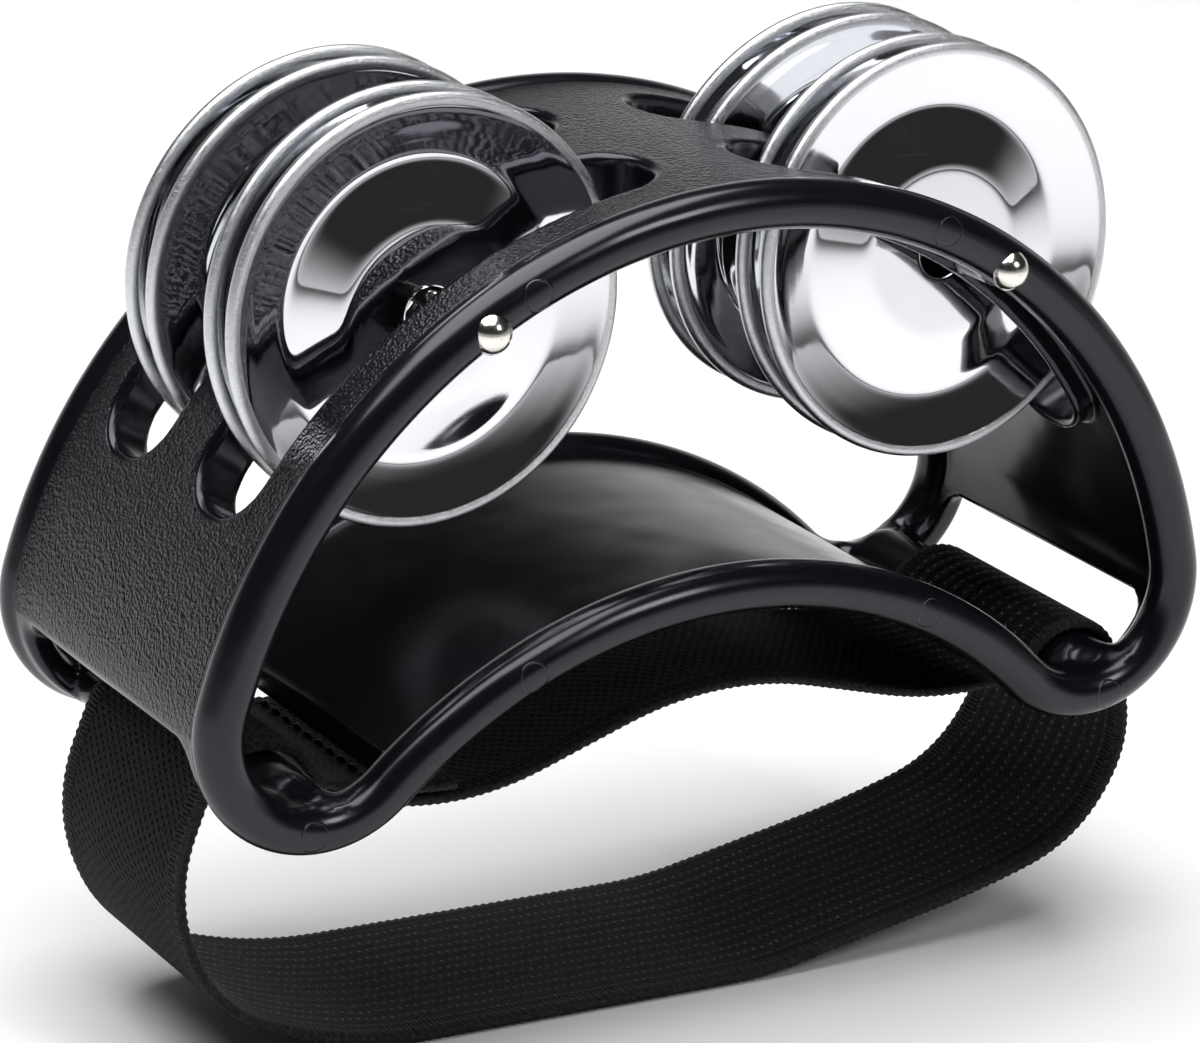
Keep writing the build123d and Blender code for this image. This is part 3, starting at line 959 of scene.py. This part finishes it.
# ---------------------------------------------------------------- studio
def pale_floor():
    """The matt, almost white floor."""
    s = Shader("pale_floor", Specular_IOR_Level=0.2)
    s.put("Base Color", s.blend(s.noise(0.05, 3.0), (0.86, 0.86, 0.865), (0.89, 0.89, 0.895)))
    s.put("Roughness", s.mix(s.noise(0.02, 2.0), 0.55, 0.7))
    return s.material


def make_floor():
    """A wide pale floor, just below the strap."""
    mesh = bpy.data.meshes.new("floor")
    half = FLOOR_SIZE / 2
    corners = [(-half, -half), (half, -half), (half, half), (-half, half)]
    mesh.from_pydata([(x, y, cad_box[0].z - FLOOR_GAP) for x, y in corners], [], [(0, 1, 2, 3)])
    floor = bpy.data.objects.new("floor", mesh)
    bpy.context.scene.collection.objects.link(floor)
    floor.data.materials.append(pale_floor())


def softbox(name, place, aim, size, power):
    """A rectangular area light, facing a point."""
    light = bpy.data.lights.new(name, "AREA")
    light.shape = "RECTANGLE"
    light.size, light.size_y = size
    light.energy = power
    lamp = bpy.data.objects.new(name, light)
    lamp.location = place
    lamp.rotation_euler = (Vector(aim) - Vector(place)).to_track_quat("-Z", "Y").to_euler()
    bpy.context.scene.collection.objects.link(lamp)


def make_room():
    """A white sweep behind and a dark room in front, above a bright horizon."""
    world = bpy.data.worlds.new("room")
    world.use_nodes = True
    tree = world.node_tree

    def span(value, low, high, first, last):
        node = tree.nodes.new("ShaderNodeMapRange")
        node.interpolation_type = "SMOOTHSTEP"
        for number, socket in zip((value, low, high, first, last), node.inputs):
            if isinstance(number, bpy.types.NodeSocket):
                tree.links.new(number, socket)
            else:
                socket.default_value = number
        return node.outputs[0]

    where = tree.nodes.new("ShaderNodeTexCoord")
    parts = tree.nodes.new("ShaderNodeSeparateXYZ")
    tree.links.new(where.outputs["Generated"], parts.inputs[0])
    facing = tree.nodes.new("ShaderNodeVectorMath")
    facing.operation = "DOT_PRODUCT"
    tree.links.new(where.outputs["Generated"], facing.inputs[0])
    facing.inputs[1].default_value = BACKDROP_WAY
    back = facing.outputs["Value"]
    top = span(back, 0.45, 0.95, HORIZON_FRONT, HORIZON_BACK)
    above = tree.nodes.new("ShaderNodeMath")
    above.operation = "SUBTRACT"
    tree.links.new(parts.outputs["Z"], above.inputs[0])
    tree.links.new(top, above.inputs[1])
    soft = span(back, 0.2, 0.9, 0.2, 0.26)
    ratio = tree.nodes.new("ShaderNodeMath")
    ratio.operation = "DIVIDE"
    tree.links.new(above.outputs[0], ratio.inputs[0])
    tree.links.new(soft, ratio.inputs[1])
    grey = span(ratio.outputs[0], -1.0, 1.0, SWEEP_WHITE, CEILING_GREY)
    colour = tree.nodes.new("ShaderNodeCombineColor")
    for socket in colour.inputs:
        tree.links.new(grey, socket)
    tree.links.new(colour.outputs[0], tree.nodes["Background"].inputs["Color"])
    bpy.context.scene.world = world


def make_camera():
    """The photograph's view: long lens, a little above and to the left of the front."""
    data = bpy.data.cameras.new("camera")
    data.sensor_width = 36.0
    data.lens = CAMERA_LENS
    camera = bpy.data.objects.new("camera", data)
    back = -Vector(CAMERA_AHEAD)
    right = Vector(CAMERA_RIGHT)
    up = back.cross(right)
    turn = Matrix((right, up, back)).transposed().to_4x4()
    camera.matrix_world = Matrix.Translation(CAMERA_PLACE) @ turn
    bpy.context.scene.collection.objects.link(camera)
    bpy.context.scene.camera = camera


black_moulding = black_plastic()
jingle_steel = bright_steel()
pin_steel = warm_nickel()
webbing = black_webbing()
thread = black_thread()

make_frame().data.materials.append(black_moulding)
make_discs()
make_pins()
stitches = make_stitching()
strap = make_strap()

make_floor()
make_room()
softbox("key", place=(-0.15, 0.1, 1.4), aim=(0, 0, 0.05), size=(1.5, 1.3), power=34)
softbox("strip", place=(0.42, -0.92, 0.87), aim=(0, 0, 0.06), size=(0.3, 0.35), power=3.5)
make_camera()
bpy.context.scene.view_settings.view_transform = "Standard"
